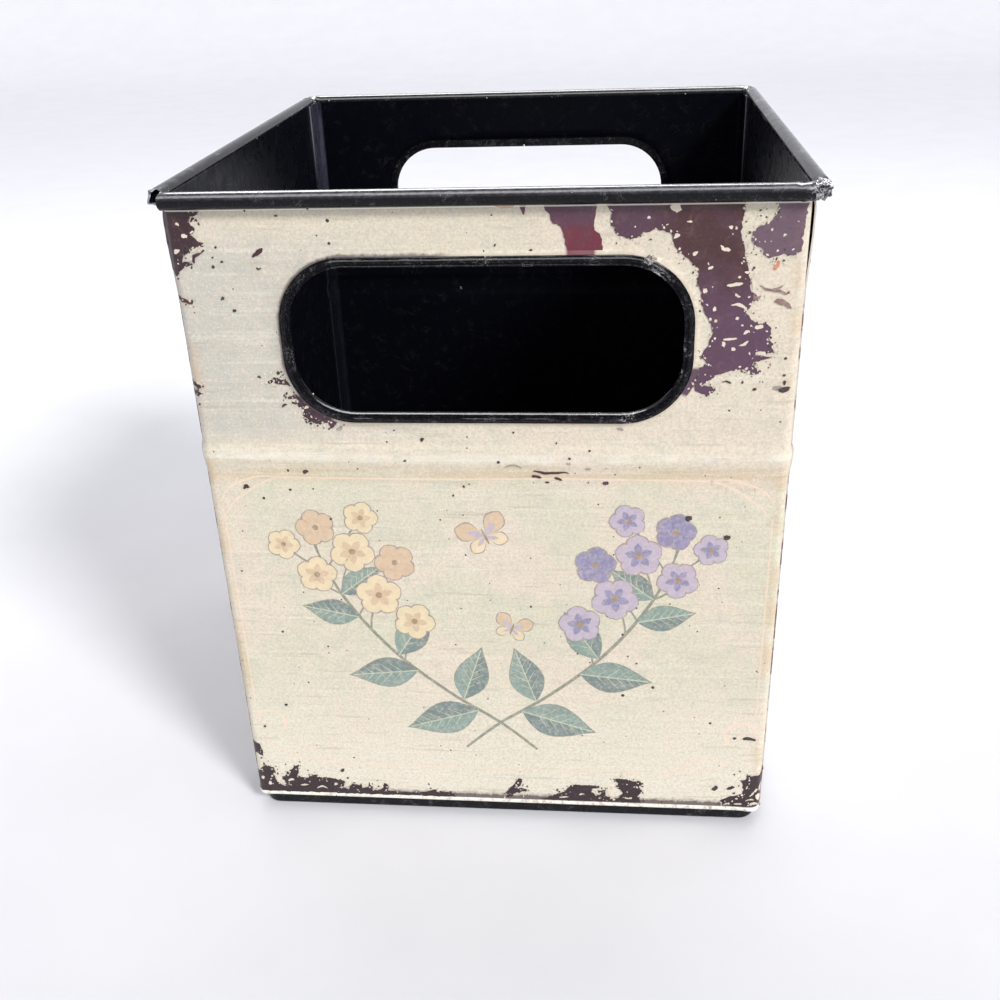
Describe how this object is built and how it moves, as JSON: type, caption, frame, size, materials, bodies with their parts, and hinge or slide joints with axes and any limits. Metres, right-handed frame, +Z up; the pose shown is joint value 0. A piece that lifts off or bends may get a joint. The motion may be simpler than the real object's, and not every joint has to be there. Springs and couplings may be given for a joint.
{
  "type": "garden seed organizer box",
  "caption": "Open-topped square tin box of folded sheet with a rolled rim, a raised ridge round the walls, an edged oblong hand hole in front and back, and a pressed base.",
  "frame": {"origin": "centre of the underside, on the surface the box stands on", "axes": "+X to the right seen from the front, +Y to the back, +Z up; the front hand hole faces -Y"},
  "size_m": [0.153, 0.1572, 0.18],
  "materials": {
    "printed_tin": "gloss lacquered print on tinplate, worn and chipped, black inside and on the rolled rim",
    "black_tin": "gloss black lacquer, scratched"
  },
  "bodies": {
    "root": {"front_panel": "printed_tin", "back_panel": "printed_tin", "left_panel": "printed_tin", "right_panel": "printed_tin", "base_pan": "black_tin", "front_hole_edging": "black_tin", "back_hole_edging": "black_tin"}
  },
  "joints": []
}
